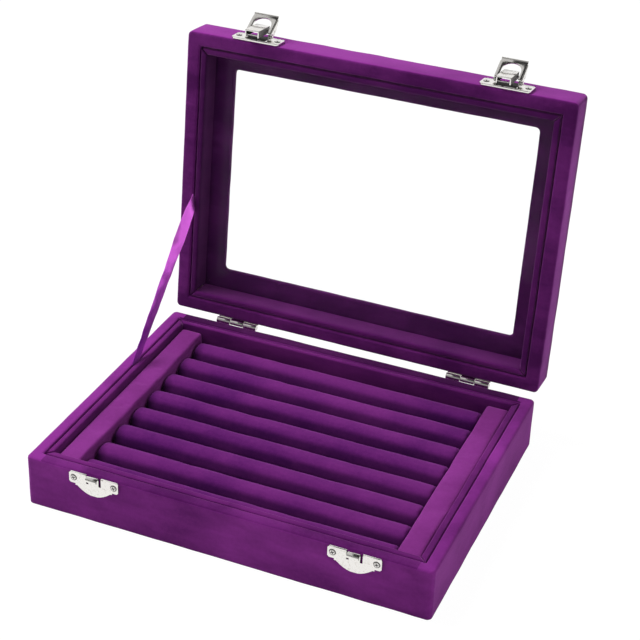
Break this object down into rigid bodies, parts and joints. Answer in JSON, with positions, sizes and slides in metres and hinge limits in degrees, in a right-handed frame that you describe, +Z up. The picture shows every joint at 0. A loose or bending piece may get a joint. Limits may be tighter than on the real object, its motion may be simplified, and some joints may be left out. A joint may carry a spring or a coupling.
{
  "type": "ring box with clear lid",
  "caption": "Velvet-covered ring box: padded ring rolls in the tray, hinged lid with a clear pane held open by a satin ribbon, and draw latches at the front.",
  "frame": {"origin": "centre of the base's underside, on the surface that the box stands on", "axes": "+Z up, +X to the right along the box's width, +Y to the back where the hinges are; the front with its catches faces -Y"},
  "size_m": [0.2, 0.1897, 0.1874],
  "materials": {
    "velvet": "purple velvet, short pile with a soft sheen",
    "velvet_padding": "purple velvet over soft padding",
    "board": "plain fibreboard under the velvet",
    "underside_sheet": "dark flocked sheet",
    "nickel": "bright nickel-plated pressed steel",
    "clear_pane": "clear polished",
    "satin": "pink satin ribbon"
  },
  "bodies": {
    "base": {"base_velvet_cover": "velvet", "base_wall_frame": "board", "base_bottom_board": "board", "base_underside_sheet": "underside_sheet", "base_liner_front": "velvet", "base_liner_right": "velvet", "base_liner_back": "velvet", "base_liner_left": "velvet", "insert_board": "board", "left_end_bar": "velvet_padding", "right_end_bar": "velvet_padding", "ring_roll_1": "velvet_padding", "ring_roll_2": "velvet_padding", "ring_roll_3": "velvet_padding", "ring_roll_4": "velvet_padding", "ring_roll_5": "velvet_padding", "ring_roll_6": "velvet_padding", "ring_roll_7": "velvet_padding", "ring_roll_8": "velvet_padding", "catch_plate_left": "nickel", "catch_plate_right": "nickel", "catch_screw_1": "nickel", "catch_screw_2": "nickel", "catch_screw_3": "nickel", "catch_screw_4": "nickel", "hinge_left_base_leaf": "nickel", "hinge_right_base_leaf": "nickel", "hinge_base_screw_1": "nickel", "hinge_base_screw_2": "nickel", "hinge_base_screw_3": "nickel", "hinge_base_screw_4": "nickel", "hinge_pin_left": "nickel", "hinge_pin_right": "nickel", "stay_ribbon": "satin"},
    "lid": {"lid_velvet_cover": "velvet", "lid_wall_frame": "board", "lid_window_card": "board", "glass_pane": "clear_pane", "lid_liner_front": "velvet", "lid_liner_right": "velvet", "lid_liner_back": "velvet", "lid_liner_left": "velvet", "latch_plate_left": "nickel", "latch_plate_right": "nickel", "latch_screw_1": "nickel", "latch_screw_2": "nickel", "latch_screw_3": "nickel", "latch_screw_4": "nickel", "hinge_left_lid_leaf": "nickel", "hinge_right_lid_leaf": "nickel", "hinge_lid_screw_1": "nickel", "hinge_lid_screw_2": "nickel", "hinge_lid_screw_3": "nickel", "hinge_lid_screw_4": "nickel"},
    "left_lever": {"latch_lever_left": "nickel", "link_pin_left": "nickel"},
    "right_lever": {"latch_lever_right": "nickel", "link_pin_right": "nickel"},
    "left_link": {"latch_link_left": "nickel"},
    "right_link": {"latch_link_right": "nickel"}
  },
  "joints": [
    {"name": "lid_hinge", "type": "hinge", "parent": "base", "child": "lid", "pos_m": [0, 0.0768, 0.02665], "axis": [1, 0, 0], "range_deg": [0, 96], "deforming": ["stay_ribbon"]},
    {"name": "left_lever_hinge", "type": "hinge", "parent": "lid", "child": "left_lever", "pos_m": [-0.064, 0.09906, 0.17956], "axis": [1, 0, 0], "range_deg": [-35, 70]},
    {"name": "right_lever_hinge", "type": "hinge", "parent": "lid", "child": "right_lever", "pos_m": [0.064, 0.09906, 0.17956], "axis": [1, 0, 0], "range_deg": [-35, 70]},
    {"name": "left_link_hinge", "type": "hinge", "parent": "left_lever", "child": "left_link", "pos_m": [-0.064, 0.10218, 0.18129], "axis": [1, 0, 0], "range_deg": [-70, 35]},
    {"name": "right_link_hinge", "type": "hinge", "parent": "right_lever", "child": "right_link", "pos_m": [0.064, 0.10218, 0.18129], "axis": [1, 0, 0], "range_deg": [-70, 35]}
  ],
  "couplings": [
    {"joint": "left_link_hinge", "follows": "left_lever_hinge", "ratio": -1},
    {"joint": "right_link_hinge", "follows": "right_lever_hinge", "ratio": -1}
  ]
}
